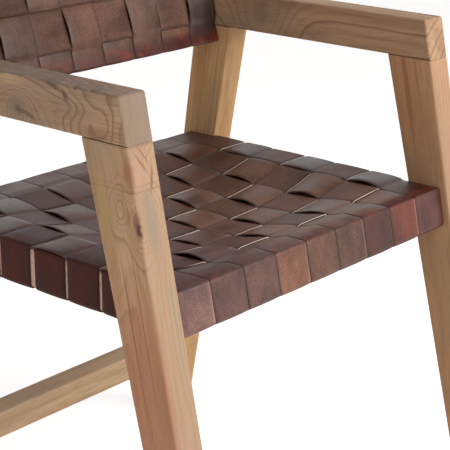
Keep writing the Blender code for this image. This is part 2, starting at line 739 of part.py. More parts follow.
def fit_dowel(word, side, rail, leg, empty, depth):
    """A dowel from the back's bottom rail into the rear leg."""
    half = DOWEL_LENGTH / 2
    middle = side * (HALF_INNER - CLEARANCE / 2)
    place = Vector((0.0, DOWEL_UP, depth))
    mesh = rod_mesh(DOWEL_RADIUS, middle - half, middle + half)
    dowel = add_object(f"back_dowel_{word}", mesh, TEAK_INNER, empty)
    dowel.location = place
    hole = rod_mesh(DOWEL_RADIUS + CLEARANCE, middle - half - CLEARANCE, middle + half + CLEARANCE)
    hole.transform(Matrix.Translation(place))
    cut_shape(rail, hole, empty)
    cut_shape(leg, hole, empty)


def fit_bolt(word, side, pieces, panel, depth):
    """A bolt from inside the back's stile, through the leather and into the arm."""
    seat_face = HALF_INNER - CLEARANCE - RAIL_INSET - BACK_SIDE_WIDTH - CLEARANCE
    tip = HALF_INNER + BOLT_IN_ARM
    profile = [
        (0.0, tip),
        (BOLT_RADIUS, tip),
        (BOLT_RADIUS, seat_face),
        (BOLT_HEAD_RADIUS, seat_face),
        (BOLT_HEAD_RADIUS, seat_face - BOLT_HEAD_HEIGHT + BOLT_HEAD_ROUND),
        (BOLT_HEAD_RADIUS - BOLT_HEAD_ROUND, seat_face - BOLT_HEAD_HEIGHT),
        (0.0, seat_face - BOLT_HEAD_HEIGHT),
    ]
    bolt = turned_object(f"back_bolt_{word}", profile, STEEL, panel["empty"])
    bolt.location = (0.0, bolt_up_slope(panel), depth)
    bolt.rotation_euler = (0.0, side * math.radians(90), 0.0)
    ends = sorted((side * (seat_face - BOLT_HEAD_HEIGHT), side * (tip + CLEARANCE)))
    hole = rod_mesh(BOLT_RADIUS + CLEARANCE, ends[0], ends[1])
    hole.transform(Matrix.Translation(Vector((0.0, bolt_up_slope(panel), depth))))
    for piece in pieces:
        cut_shape(piece, hole, panel["empty"])


def shade_round_pieces():
    """Smooth shading on turned pieces, with their corners kept sharp."""
    for piece in CHAIR.objects:
        if piece.type == "MESH" and piece.name.startswith(("glide", "back_bolt", "back_dowel")):
            piece.data.shade_smooth()
            piece.data.set_sharp_from_angle(angle=math.radians(40))


def build_chair():
    """The whole armchair."""
    frames = {word: make_side_frame(word, side) for word, side in SIDES}
    make_stretcher(frames)
    make_seat(frames)
    make_back(frames)
    shade_round_pieces()


build_chair()
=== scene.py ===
import math

import bpy
import numpy as np
from mathutils import Matrix, Vector


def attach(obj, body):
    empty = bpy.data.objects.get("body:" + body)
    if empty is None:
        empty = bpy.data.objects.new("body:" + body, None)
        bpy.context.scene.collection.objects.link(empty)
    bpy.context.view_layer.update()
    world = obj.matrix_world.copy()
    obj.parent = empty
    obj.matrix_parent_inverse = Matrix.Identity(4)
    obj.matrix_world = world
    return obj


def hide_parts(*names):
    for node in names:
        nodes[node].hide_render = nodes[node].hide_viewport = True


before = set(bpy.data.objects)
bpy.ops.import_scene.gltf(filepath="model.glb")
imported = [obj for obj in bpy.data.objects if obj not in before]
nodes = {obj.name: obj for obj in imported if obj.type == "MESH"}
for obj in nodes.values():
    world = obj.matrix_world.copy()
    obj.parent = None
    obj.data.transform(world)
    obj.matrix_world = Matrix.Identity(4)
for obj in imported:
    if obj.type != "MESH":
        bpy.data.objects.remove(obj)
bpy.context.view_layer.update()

# Teak armchair with a seat and a back of woven leather straps. Metres, +Z up, front -Y.


def deselectAll():
    bpy.ops.object.select_all(action="DESELECT")


def applyModifier(piece, kind, settings):
    deselectAll()
    piece.select_set(True)
    bpy.context.view_layer.objects.active = piece
    modifier = piece.modifiers.new(kind.lower(), kind)
    for name, value in settings.items():
        setattr(modifier, name, value)
    bpy.ops.object.modifier_apply(modifier=modifier.name)


def linearColor(hexText):            # sRGB hex to linear
    values = []
    for start in (1, 3, 5):
        part = int(hexText[start:start + 2], 16) / 255
        values.append(part / 12.92 if part <= 0.04045 else ((part + 0.055) / 1.055) ** 2.4)
    return (*values, 1.0)


def addNode(tree, kind, settings=None, links=None):
    node = tree.nodes.new(f"ShaderNode{kind}")
    for name, value in (settings or {}).items():
        if isinstance(name, str) and hasattr(node, name):
            setattr(node, name, value)
        else:
            node.inputs[name].default_value = value
    for name, source in (links or {}).items():
        tree.links.new(source, node.inputs[name])
    return node


def newMaterial(name):
    material = bpy.data.materials.new(name)
    material.use_nodes = True
    material.node_tree.nodes.clear()
    return material, material.node_tree


# Camera, as in the photograph

shot = {
    "place": (-1.2143, -1.1029, 0.9699),
    "azimuth": 49.193,       # degrees from +Y towards +X
    "elevation": 18.566,     # looking down
    "roll": 0.19,
    "lens": 116.95,
    "sensor": 36.0,          # mm across the square picture
    "farEnd": 50.0,
}

bpy.ops.object.camera_add(location=shot["place"])
camera = bpy.context.object
camera.name = "camera"
pose = Matrix.Translation(shot["place"])
for angle, axis in ((-shot["azimuth"], "Z"), (90 - shot["elevation"], "X"), (shot["roll"], "Z")):
    pose = pose @ Matrix.Rotation(math.radians(angle), 4, axis)
camera.matrix_world = pose
camera.data.lens = shot["lens"]
camera.data.sensor_width = shot["sensor"]
camera.data.clip_end = shot["farEnd"]
bpy.context.scene.camera = camera
bpy.context.scene.view_settings.view_transform = "Standard"

# Floor, backdrop and lamps

studio = {
    "floorSize": 14.0,
    "floorColor": "#EDEBE8",
    "floorRough": 0.9,
    "floorGlow": 0.62,       # only seen by the camera and in reflections
    "worldLight": 0.33,      # soft light from all round
    "backdrop": 1.0,         # white, seen in the same way as the glow
    "aim": (0, 0, 0.42),
    "lamps": {               # place, size, power
        "front lamp": ((0.8, -2.3, 1.45), 1.5, 52.5),
        "left lamp": ((-2.6, -0.8, 0.9), 1.6, 15.0),
        "top lamp": ((0.1, -0.3, 2.6), 2.0, 3.0),
    },
}
white = (1, 1, 1, 1)


def addSeenRays(tree):               # 1 for the camera, reflections and see-through rays
    rays = addNode(tree, "LightPath")
    seen = rays.outputs["Is Camera Ray"]
    for word in ("Is Glossy Ray", "Is Transmission Ray"):
        seen = addNode(tree, "Math", {"operation": "MAXIMUM"},
                       {0: seen, 1: rays.outputs[word]}).outputs[0]
    return seen


deselectAll()
bpy.ops.mesh.primitive_plane_add(size=studio["floorSize"], location=(0, 0, 0))
floor = bpy.context.object
floor.name = "floor"
material, tree = newMaterial("paper floor")
paper = addNode(tree, "BsdfPrincipled",
                {"Base Color": linearColor(studio["floorColor"]),
                 "Roughness": studio["floorRough"]})
glow = addNode(tree, "Emission", {"Strength": studio["floorGlow"]})
both = addNode(tree, "AddShader", None, {0: paper.outputs[0], 1: glow.outputs[0]})
pick = addNode(tree, "MixShader", None,
               {0: addSeenRays(tree), 1: paper.outputs[0], 2: both.outputs[0]})
addNode(tree, "OutputMaterial", None, {0: pick.outputs[0]})
floor.data.materials.append(material)

world = bpy.data.worlds.new("studio")
bpy.context.scene.world = world
world.use_nodes = True
tree = world.node_tree
tree.nodes.clear()
soft = addNode(tree, "Background", {"Color": white, "Strength": studio["worldLight"]})
backdrop = addNode(tree, "Background", {"Color": white, "Strength": studio["backdrop"]})
pick = addNode(tree, "MixShader", None,
               {0: addSeenRays(tree), 1: soft.outputs[0], 2: backdrop.outputs[0]})
addNode(tree, "OutputWorld", None, {0: pick.outputs[0]})

for name, (place, size, power) in studio["lamps"].items():
    aim = Vector(studio["aim"]) - Vector(place)
    bpy.ops.object.light_add(type="AREA", location=place,
                             rotation=aim.to_track_quat("-Z", "Y").to_euler())
    lamp = bpy.context.object
    lamp.name = name
    lamp.data.size = size
    lamp.data.energy = power
print("camera, floor and lamps set")


# Teak, planed, sanded and oiled: fine lengthwise grain, dark late wood in uneven rings, small
# knots with the grain flowing round them, grey and reddish patches, nearly matt.

frontLean = 11.6             # degrees that the front legs lean, and the rear legs
rearLean = 8.3
alongLeg = (-frontLean, 0, 0)

# grain: degrees that the board is turned; pith: the middle of its trunk, metres across and through;
# wander: how far the rings stray; ring: how wide one is; ringDepth: how dark its late wood
teakLooks = {
    "teak arm": {
        "pieces": ("arm_left", "arm_right"),
        "grain": (0, 0, 0), "pith": (0.34, 0.52), "wander": 0.04, "ring": 0.0088,
        "light": "#C8A17C", "mid": "#B28967", "dark": "#6F5039", "grey": "#97806C",
        "ringDepth": 0.6,
        "swirls": [   # place, reach, lift of the grain there
            ((-0.257, -0.012, 0.59), (0.2, 0.092, 0.062), 0.105),
            ((-0.27, -0.0177, 0.6165), (0.02, 0.017, 0.014), 0.046),
            ((-0.27, -0.09, 0.629), (0.02, 0.03, 0.012), 0.016),
            ((-0.27, -0.14, 0.618), (0.02, 0.014, 0.018), 0.018),
            ((0.257, 0.09, 0.61), (0.2, 0.06, 0.045), 0.06),
        ],
        "marks": [    # place, turn, reach, colour, share
            ((-0.2755, -0.0177, 0.617), (0, 0, 0), (0.01, 0.02, 0.016), "#84705F", 0.7),
            ((-0.2755, -0.02, 0.615), (20, 0, 0), (0.01, 0.01, 0.005), "#5B4232", 0.6),
            ((-0.2755, -0.034, 0.612), (20, 0, 0), (0.01, 0.018, 0.004), "#5F4635", 0.6),
            ((-0.2755, -0.088, 0.639), (60, 0, 0), (0.01, 0.01, 0.005), "#5A4131", 0.8),
            ((-0.2755, -0.068, 0.648), (10, 0, 0), (0.03, 0.022, 0.004), "#54402F", 0.75),
            ((-0.2755, -0.102, 0.6495), (0, 0, 0), (0.02, 0.006, 0.003), "#4E3A2C", 0.8),
            ((-0.2755, -0.127, 0.6495), (0, 0, 0), (0.02, 0.01, 0.003), "#54402F", 0.7),
            ((-0.2755, -0.06, 0.625), (80, 0, 0), (0.02, 0.02, 0.012), "#A98561", 0.6),
            ((-0.2755, -0.128, 0.608), (0, 0, 0), (0.01, 0.03, 0.01), "#8A6850", 0.5),
            ((-0.25, -0.16, 0.635), (0, 0, 0), (0.016, 0.02, 0.022), "#B3A195", 0.7),
            ((-0.244, -0.169, 0.613), (0, 0, 0), (0.02, 0.02, 0.018), "#C8AC8C", 0.7),
            ((-0.257, -0.17, 0.6019), (0, 0, 0), (0.06, 0.08, 0.0013), "#7E5C44", 0.3),
            ((-0.257, -0.165, 0.626), alongLeg, (0.06, 0.0029, 0.08), "#8E7965", 0.85),
            # the whole top of the arm darker and greyer
            ((-0.257, 0.04, 0.651), (0, 0, 0), (0.06, 0.4, 0.004), "#74635A", 0.9),
        ],
    },
    "teak near leg": {
        "pieces": ("front_leg_left",),
        "grain": (frontLean - 90, 0, 0), "pith": (0.3, 0.11), "wander": 0.048, "ring": 0.007,
        "light": "#CFA680", "mid": "#BC936E", "dark": "#7F563B", "grey": "#AB9478",
        "ringDepth": 0.5,
        "swirls": [
            ((-0.2755, -0.159, 0.54), (0.02, 0.013, 0.022), 0.036),
            ((-0.2755, -0.185, 0.527), (0.016, 0.011, 0.024), 0.026),
            ((-0.263, -0.19, 0.515), (0.016, 0.02, 0.03), 0.03),
            ((-0.2755, -0.15, 0.47), (0.02, 0.02, 0.06), 0.018),
            ((-0.25, -0.175, 0.58), (0.016, 0.02, 0.022), -0.02),
            ((-0.244, -0.23, 0.33), (0.016, 0.02, 0.08), 0.016),
        ],
        "marks": [
            # painted shade over the whole front face: darker and greyer than the rest of the leg
            ((-0.257, -0.2319, 0.3), alongLeg, (0.06, 0.0029, 0.6), "#AB8E72", 0.7),
            ((-0.257, -0.245, 0.24), alongLeg, (0.03, 0.012, 0.13), "#B98E78", 0.6),
            ((-0.265, -0.178, 0.575), alongLeg, (0.02, 0.01, 0.03), "#C69C82", 0.5),
            ((-0.258, -0.181, 0.528), alongLeg, (0.0125, 0.03, 0.045), "#958A78", 0.62),
            ((-0.2755, -0.1385, 0.536), alongLeg, (0.006, 0.013, 0.055), "#B0935F", 0.75),
            ((-0.2755, -0.174, 0.576), alongLeg, (0.006, 0.012, 0.026), "#9C6C47", 0.75),
            ((-0.275, -0.183, 0.528), alongLeg, (0.006, 0.0075, 0.019), "#80584A", 0.8),
            ((-0.275, -0.185, 0.523), alongLeg, (0.004, 0.0035, 0.01), "#4E2C24", 0.9),
            ((-0.2495, -0.177, 0.567), (-frontLean, 13, 0), (0.0026, 0.02, 0.019), "#8B6548", 0.9),
            ((-0.26, -0.173, 0.5845), (-frontLean, -32, 0), (0.002, 0.02, 0.019), "#8E6546", 0.8),
            ((-0.256, -0.17, 0.592), (-frontLean, -32, 0), (0.0015, 0.02, 0.016), "#8E6546", 0.75),
            ((-0.2478, -0.205, 0.43), alongLeg, (0.0026, 0.02, 0.075), "#9A9078", 0.9),
            ((-0.257, -0.16, 0.5585), (0, 0, 0), (0.06, 0.08, 0.001), "#96704F", 0.6),
            ((-0.257, -0.16, 0.564), (0, 0, 0), (0.06, 0.08, 0.0008), "#96704F", 0.5),
            ((-0.2755, -0.178, 0.4), alongLeg, (0.006, 0.0022, 0.12), "#7A4F3A", 0.75),
            ((-0.2755, -0.192, 0.41), alongLeg, (0.006, 0.0016, 0.11), "#7A4F3A", 0.7),
            ((-0.2755, -0.19, 0.33), (0, 0, 0), (0.01, 0.09, 0.18), "#AE7252", 0.7),
            ((-0.2755, -0.15, 0.475), alongLeg, (0.008, 0.01, 0.05), "#B18260", 0.5),
            ((-0.257, -0.17, 0.6005), (0, 0, 0), (0.06, 0.08, 0.0014), "#8A664A", 0.4),
        ],
    },
    "teak far leg": {
        "pieces": ("front_leg_right",),
        "grain": (frontLean - 90, 0, 0), "pith": (0.12, 0.3), "wander": 0.024, "ring": 0.0062,
        "light": "#DAA67C", "mid": "#C48D62", "dark": "#85593A", "grey": "#B0906E",
        "ringDepth": 0.5,
        "swirls": [],
        "marks": [
            # painted shade over the whole front face: darker and greyer than the rest of the leg
            ((0.257, -0.2319, 0.3), alongLeg, (0.06, 0.0029, 0.6), "#A08068", 0.7),
            ((0.2385, -0.14, 0.56), alongLeg, (0.006, 0.006, 0.09), "#9A5F42", 0.75),
            # painted shade over the inner face, which looks towards the seat
            ((0.2385, -0.15, 0.5), alongLeg, (0.012, 0.2, 0.2), "#A07B58", 0.35),
            ((0.2385, -0.18, 0.3), alongLeg, (0.012, 0.2, 0.2), "#A07B58", 0.35),
        ],
    },
    "teak rear leg": {
        "pieces": ("rear_leg_left", "rear_leg_right", "back_left_stile", "back_right_stile"),
        "grain": (-rearLean - 90, 0, 0), "pith": (0.28, 0.2), "wander": 0.032, "ring": 0.007,
        "light": "#DEAC78", "mid": "#C38E58", "dark": "#835736", "grey": "#B8966A",
        "ringDepth": 0.4,
        "swirls": [], "marks": [],
    },
    "teak rail": {
        "pieces": ("rear_stretcher", "back_bottom_rail", "back_top_rail", "back_dowel_left",
                   "back_dowel_right", "seat_front_rail", "seat_rear_rail",
                   "corner_block_front_left", "corner_block_front_right",
                   "corner_block_rear_left", "corner_block_rear_right"),
        "grain": (0, 0, 90), "pith": (0.25, 0.22), "wander": 0.032, "ring": 0.0076,
        "light": "#D0B08C", "mid": "#BE9A76", "dark": "#8A6749", "grey": "#AE967A",
        "ringDepth": 0.4,
        "swirls": [], "marks": [],
    },
    "teak sapwood": {
        "pieces": ("seat_left_rail", "seat_right_rail"),
        "grain": (0, 0, 0), "pith": (0.02, 0.62), "wander": 0.032, "ring": 0.0076,
        "light": "#DDBBA6", "mid": "#CFA892", "dark": "#A8826C", "grey": "#C8AFA0",
        "ringDepth": 0.4,
        "swirls": [], "marks": [],
    },
}
teakPatterns = {   # stretch across, along and through the board, scale, detail, roughness
    "drift": ((1.0, 0.22, 1.0), 11.0, 2.0, 0.5),     # the rings wander over 90 mm
    "wobble": ((1.0, 0.14, 1.0), 55.0, 3.0, 0.6),    # and tremble over 18 mm
    "fibres": ((1.0, 0.035, 1.0), 420.0, 3.0, 0.65),     # 2 mm apart
    "pores": ((1.0, 0.05, 1.0), 800.0, 1.0, 0.5),    # 0.3 mm wide in teak, drawn at 1 mm to show
    "bands": ((1.0, 0.08, 1.0), 30.0, 2.0, 0.5),     # of early wood, 30 mm apart
    "patches": ((1.0, 0.4, 1.0), 14.0, 2.0, 0.5),    # where it has turned grey, 70 mm apart
}
teakShares = {     # pattern, the two values that it runs between, and what it gives at each
    "ringRise": ("ringPlace", 0.45, 0.93, 0.0, 1.0),
    "ringEnd": ("ringPlace", 0.94, 1.0, 1.0, 0.0),
    "ringChance": ("ringNumber", 0.0, 1.0, 0.25, 1.0),
    "mid": ("bands", 0.36, 0.64, 0.0, 1.0),
    "grey": ("patches", 0.46, 0.70, 0.0, 0.70),
    "fibre": ("fibres", 0.40, 0.75, 0.0, 0.30),
    "pore": ("pores", 0.60, 0.72, 0.0, 0.38),
    "pit": ("pores", 0.60, 0.72, 0.0, -1.0),
    "rough": ("fibres", 0.20, 0.80, 0.50, 0.66),
}
teakSkin = {
    "wobble": 0.004,         # how far the fine wobble moves a ring
    "stray": 0.003,          # how far a mark's edge strays
    "strayScale": 120.0,     # over 8 mm
    "thin": 0.003,           # a mark that is thinner keeps its edges
    "core": 0.25,            # share of a mark's reach that has its full colour
    "ringRelief": 0.6,
    "fibreRelief": 0.8,
}


def addTeak(name, look):
    material, tree = newMaterial(name)
    coords = addNode(tree, "TexCoord").outputs["Object"]
    turn = [math.radians(angle) for angle in look["grain"]]
    grain = addNode(tree, "Mapping", {"Rotation": turn}, {"Vector": coords}).outputs[0]
    values = {}                      # the grain runs along Y of its own coordinates
    for word, (stretch, scale, detail, roughness) in teakPatterns.items():
        stretched = addNode(tree, "VectorMath", {"operation": "MULTIPLY", 1: stretch},
                            {0: grain})
        noise = addNode(tree, "TexNoise",
                        {"Scale": scale, "Detail": detail, "Roughness": roughness},
                        {"Vector": stretched.outputs[0]})
        values[word] = noise.outputs["Fac"]

    # rings round the pith of the trunk, which lies outside the board
    across, through = look["pith"]
    flat = addNode(tree, "VectorMath",
                   {"operation": "MULTIPLY_ADD", 1: (1, 0, 1), 2: (-across, 0, -through)},
                   {0: grain})
    radius = addNode(tree, "VectorMath", {"operation": "LENGTH"},
                     {0: flat.outputs[0]}).outputs["Value"]
    shifts = [(values["drift"], look["wander"]), (values["wobble"], teakSkin["wobble"])]
    for place, reach, lift in look["swirls"]:
        near = addNode(tree, "Mapping",
                       {"vector_type": "TEXTURE", "Location": place, "Scale": reach},
                       {"Vector": coords}).outputs[0]
        square = addNode(tree, "VectorMath", {"operation": "DOT_PRODUCT"},
                         {0: near, 1: near})
        drop = addNode(tree, "Math", {"operation": "MULTIPLY", 1: -1.0},
                       {0: square.outputs["Value"]})
        hill = addNode(tree, "Math", {"operation": "EXPONENT"}, {0: drop.outputs[0]})
        shifts.append((hill.outputs[0], lift))
    for shift, amount in shifts:
        radius = addNode(tree, "Math", {"operation": "MULTIPLY_ADD", 1: amount},
                         {0: shift, 2: radius}).outputs[0]
    turns = addNode(tree, "Math", {"operation": "DIVIDE", 1: look["ring"]},
                    {0: radius}).outputs[0]
    values["ringPlace"] = addNode(tree, "Math", {"operation": "FRACT"},
                                  {0: turns}).outputs[0]
    whole = addNode(tree, "Math", {"operation": "FLOOR"}, {0: turns})
    values["ringNumber"] = addNode(tree, "TexWhiteNoise", {"noise_dimensions": "1D"},
                                   {"W": whole.outputs[0]}).outputs["Value"]

    shares = {}
    for word, (source, low, high, start, end) in teakShares.items():
        shares[word] = addNode(tree, "MapRange",
                               {"interpolation_type": "SMOOTHSTEP",
                                "From Min": low, "From Max": high, "To Min": start, "To Max": end},
                               {0: values[source]}).outputs[0]
    late = shares["ringRise"]
    for word in ("ringEnd", "ringChance"):
        late = addNode(tree, "Math", {"operation": "MULTIPLY"},
                       {0: late, 1: shares[word]}).outputs[0]
    lateShare = addNode(tree, "Math", {"operation": "MULTIPLY", 1: look["ringDepth"]},
                        {0: late}).outputs[0]
    layers = [(look["mid"], shares["mid"]), (look["grey"], shares["grey"]),
              (look["dark"], lateShare), (look["dark"], shares["fibre"]),
              (look["dark"], shares["pore"])]

    # stains, knots and worn places, and painted shade on some faces: all but the thin ones have
    # ragged edges
    if look["marks"]:
        stray = teakSkin["stray"]
        noise = addNode(tree, "TexNoise",
                        {"Scale": teakSkin["strayScale"], "Detail": 3.0}, {"Vector": coords})
        moved = addNode(tree, "VectorMath",
                        {"operation": "MULTIPLY_ADD", 1: (2 * stray,) * 3},
                        {0: noise.outputs["Color"], 2: coords})
        ragged = addNode(tree, "VectorMath", {"operation": "SUBTRACT", 1: (stray,) * 3},
                         {0: moved.outputs[0]}).outputs[0]
    for place, lean, reach, tint, amount in look["marks"]:
        near = addNode(tree, "Mapping",
                       {"vector_type": "TEXTURE", "Location": place,
                        "Rotation": [math.radians(angle) for angle in lean], "Scale": reach},
                       {"Vector": coords if min(reach) < teakSkin["thin"] else ragged})
        away = addNode(tree, "VectorMath", {"operation": "LENGTH"}, {0: near.outputs[0]})
        share = addNode(tree, "MapRange",
                        {"interpolation_type": "SMOOTHSTEP", "From Min": teakSkin["core"],
                         "To Min": amount, "To Max": 0.0}, {0: away.outputs["Value"]})
        layers.append((tint, share.outputs[0]))
    color = None
    for tint, share in layers:
        links = {0: share} if color is None else {0: share, 6: color}
        color = addNode(tree, "Mix",
                        {"data_type": "RGBA", 6: linearColor(look["light"]), 7: linearColor(tint)},
                        links).outputs[2]

    height = shares["pit"]
    reliefs = ((late, teakSkin["ringRelief"]), (values["fibres"], teakSkin["fibreRelief"]))
    for source, depth in reliefs:
        height = addNode(tree, "Math", {"operation": "MULTIPLY_ADD", 1: depth},
                         {0: source, 2: height}).outputs[0]
    bump = addNode(tree, "Bump", {"Strength": 0.25, "Distance": 0.0004},
                   {"Height": height})
    shader = addNode(tree, "BsdfPrincipled", {"IOR": 1.5, "Specular IOR Level": 0.3},
                     {"Base Color": color, "Roughness": shares["rough"], "Normal": bump.outputs[0]})
    addNode(tree, "OutputMaterial", None, {0: shader.outputs[0]})
    return material


for name, look in teakLooks.items():
    teak = addTeak(name, look)
    for pieceName in look["pieces"]:
        nodes[pieceName].data.materials.clear()
        nodes[pieceName].data.materials.append(teak)
print("teak set")


# Nylon glides, moulded: fine pitted skin. Steel bolts and staples, zinc-plated: satin grey.

fittingLooks = {
    "moulded nylon": {"pieces": "glide", "specks": 900.0, "dark": "#1B1A19", "light": "#2C2A28",
                      "rough": (0.42, 0.58), "metallic": 0.0},
    "zinc-plated steel": {"pieces": "back_bolt", "specks": 300.0, "dark": "#8C8D90",
                          "light": "#B4B5B8", "rough": (0.24, 0.40), "metallic": 1.0},
}
fittings = {}
for name, look in fittingLooks.items():
    material, tree = newMaterial(name)
    coords = addNode(tree, "TexCoord")
    specks = addNode(tree, "TexNoise", {"Scale": look["specks"], "Detail": 3.0},
                     {"Vector": coords.outputs["Object"]}).outputs["Fac"]
    tone = addNode(tree, "Mix",
                   {"data_type": "RGBA", 6: linearColor(look["dark"]),
                    7: linearColor(look["light"])}, {0: specks})
    rough = addNode(tree, "MapRange",
                    {"To Min": look["rough"][0], "To Max": look["rough"][1]}, {0: specks})
    bump = addNode(tree, "Bump", {"Strength": 0.15, "Distance": 0.0002},
                   {"Height": specks})
    shader = addNode(tree, "BsdfPrincipled", {"Metallic": look["metallic"]},
                     {"Base Color": tone.outputs[2], "Roughness": rough.outputs[0],
                      "Normal": bump.outputs[0]})
    addNode(tree, "OutputMaterial", None, {0: shader.outputs[0]})
    fittings[name] = material
    for pieceName, node in nodes.items():
        if pieceName.startswith(look["pieces"]):
            node.data.materials.clear()
            node.data.materials.append(material)
print("fittings set")


# Leather: vegetable-tanned, dyed and waxed. A fine pebbled grain with a soft grey sheen, cloudy
# dye, and a redder, worn line where it is pulled over the rails.

leatherLooks = {
    "long": {"bend": "#461407", "spark": "#702714", "rim": "#231410", "pull": 1.0,
             "rough": (0.31, 0.47), "specular": 0.36},
    "cross": {"bend": "#3E1B14", "spark": "#5A2A1E", "rim": "#1E120F", "pull": 0.6,
              "rough": (0.36, 0.52), "specular": 0.14},
}
leatherPatterns = {    # stretch along, across and through the strap, scale, detail, roughness
    "clouds": ((0.6, 1.0, 1.0), 30.0, 4.0, 0.6),         # 30 mm wide
    "streaks": ((0.22, 1.0, 1.0), 70.0, 2.0, 0.5),       # 14 mm wide, five times as long
    "creases": ((1.0, 1.0, 1.0), 420.0, 3.0, 0.65),      # 2 mm apart
    "sparks": ((1.6, 1.0, 1.0), 38.0, 2.0, 0.5),         # redder spots, 25 mm apart
}
leatherShares = {      # pattern, the two values that it runs between, and what it gives at each
    "cloudTone": ("clouds", 0.32, 0.68, 0.64, 1.24),
    "streakTone": ("streaks", 0.35, 0.70, 0.94, 1.08),
    # pebble tops lighter and the hollows between them darker: partly the grain's own tone, partly
    # painted highlight and shade
    "pebbleToneAndShine": ("pebbles", 0.10, 0.70, 1.24, 0.74),
    "wear": ("clouds", 0.40, 0.62, 0.70, 1.0),
    "spark": ("sparks", 0.50, 0.66, 0.0, 1.0),
}
leatherSkin = {
    "pebble": 0.0017,        # twice the real size so that they show
    "pebbleRelief": -0.5,
    "wearAndShadeRough": 0.2,        # rougher where it is worn, and where shade is painted on the seat
    "rim": 0.6,
}


def addLeather(name, look):
    material, tree = newMaterial(name)
    strapUv = addNode(tree, "UVMap", {"uv_map": "strap"}).outputs[0]    # metres
    read = {word: addNode(tree, "Attribute", {"attribute_name": word}).outputs
            for word in ("dye", "bend", "edge", "seed")}
    placed = addNode(tree, "VectorMath", {"operation": "ADD"},
                     {0: strapUv, 1: read["seed"]["Vector"]}).outputs[0]
    values = {}
    for word, (stretch, scale, detail, roughness) in leatherPatterns.items():
        stretched = addNode(tree, "VectorMath", {"operation": "MULTIPLY", 1: stretch},
                            {0: placed})
        noise = addNode(tree, "TexNoise",
                        {"Scale": scale, "Detail": detail, "Roughness": roughness},
                        {"Vector": stretched.outputs[0]})
        values[word] = noise.outputs["Fac"]
    values["pebbles"] = addNode(tree, "TexVoronoi", {"Scale": 1 / leatherSkin["pebble"]},
                                {"Vector": placed}).outputs["Distance"]
    shares = {}
    rows = {**leatherShares, "rough": ("clouds", 0.30, 0.70, *look["rough"])}
    for word, (source, low, high, start, end) in rows.items():
        shares[word] = addNode(tree, "MapRange",
                               {"interpolation_type": "SMOOTHSTEP",
                                "From Min": low, "From Max": high, "To Min": start, "To Max": end},
                               {0: values[source]}).outputs[0]

    tone = read["dye"]["Color"]
    # cloudy and streaky dye, and the pebbles' painted highlight and shade
    for word in ("cloudTone", "streakTone", "pebbleToneAndShine"):
        tone = addNode(tree, "VectorMath", {"operation": "SCALE"},
                       {0: tone, "Scale": shares[word]}).outputs[0]
    # the bend attribute holds wear at the rail bends and, on the seat, painted shade: both are
    # mixed redder and rougher here
    wearAndPaintedLight = addNode(tree, "Math", {"operation": "MULTIPLY"},
                   {0: read["bend"]["Fac"], 1: shares["wear"]})
    wearAndPaintedLight = addNode(tree, "Math", {"operation": "MULTIPLY", 1: look["pull"]},
                   {0: wearAndPaintedLight.outputs[0]}).outputs[0]
    redder = addNode(tree, "Mix",
                     {"data_type": "RGBA", 6: linearColor(look["bend"]),
                      7: linearColor(look["spark"])}, {0: shares["spark"]})
    pulledAndShaded = addNode(tree, "Mix", {"data_type": "RGBA"},
                     {0: wearAndPaintedLight, 6: tone, 7: redder.outputs[2]})
    rim = addNode(tree, "Math", {"operation": "MULTIPLY", 1: leatherSkin["rim"]},
                  {0: read["edge"]["Fac"]})
    color = addNode(tree, "Mix", {"data_type": "RGBA", 7: linearColor(look["rim"])},
                    {0: rim.outputs[0], 6: pulledAndShaded.outputs[2]})
    rough = addNode(tree, "Math",
                    {"operation": "MULTIPLY_ADD", 1: leatherSkin["wearAndShadeRough"]},
                    {0: wearAndPaintedLight, 2: shares["rough"]})
    height = addNode(tree, "Math",
                     {"operation": "MULTIPLY_ADD", 1: leatherSkin["pebbleRelief"]},
                     {0: values["pebbles"], 2: values["creases"]})
    bump = addNode(tree, "Bump", {"Strength": 0.30, "Distance": 0.0003},
                   {"Height": height.outputs[0]})
    shader = addNode(tree, "BsdfPrincipled",
                     {"IOR": 1.48, "Specular IOR Level": look["specular"]},
                     {"Base Color": color.outputs[2], "Roughness": rough.outputs[0],
                      "Normal": bump.outputs[0]})
    addNode(tree, "OutputMaterial", None, {0: shader.outputs[0]})
    return material


# Cut edges and the flesh side: fibrous and matt, tan where the dye has not reached

rawLooks = {           # two tones where it is dyed, two where it isn't
    "cut edge": {"dyed": ("#4A2E24", "#6A4636"), "bare": ("#CDB49E", "#F8EEE0")},
    "flesh side": {"dyed": ("#5A3A2C", "#835D49"), "bare": ("#5A3A2C", "#835D49")},
}


def addRaw(name, look):
    material, tree = newMaterial(name)
    strapUv = addNode(tree, "UVMap", {"uv_map": "strap"})
    bare = addNode(tree, "Attribute", {"attribute_name": "raw"})
    fibres = addNode(tree, "TexNoise", {"Scale": 500.0, "Detail": 3.0},
                     {"Vector": strapUv.outputs[0]}).outputs["Fac"]
    tints = {}
    for word, (first, second) in look.items():
        tints[word] = addNode(tree, "Mix",
                              {"data_type": "RGBA", 6: linearColor(first), 7: linearColor(second)},
                              {0: fibres}).outputs[2]
    color = addNode(tree, "Mix", {"data_type": "RGBA"},
                    {0: bare.outputs["Fac"], 6: tints["dyed"], 7: tints["bare"]})
    bump = addNode(tree, "Bump", {"Strength": 0.4, "Distance": 0.0003},
                   {"Height": fibres})
    shader = addNode(tree, "BsdfPrincipled",
                     {"Roughness": 0.85, "Specular IOR Level": 0.2},
                     {"Base Color": color.outputs[2], "Normal": bump.outputs[0]})
    addNode(tree, "OutputMaterial", None, {0: shader.outputs[0]})
    return material


leather = {word: addLeather(f"waxed strap leather {word}", look)
           for word, look in leatherLooks.items()}
raw = {word: addRaw(f"leather {word}", look) for word, look in rawLooks.items()}
print("leather set")


# Woven straps

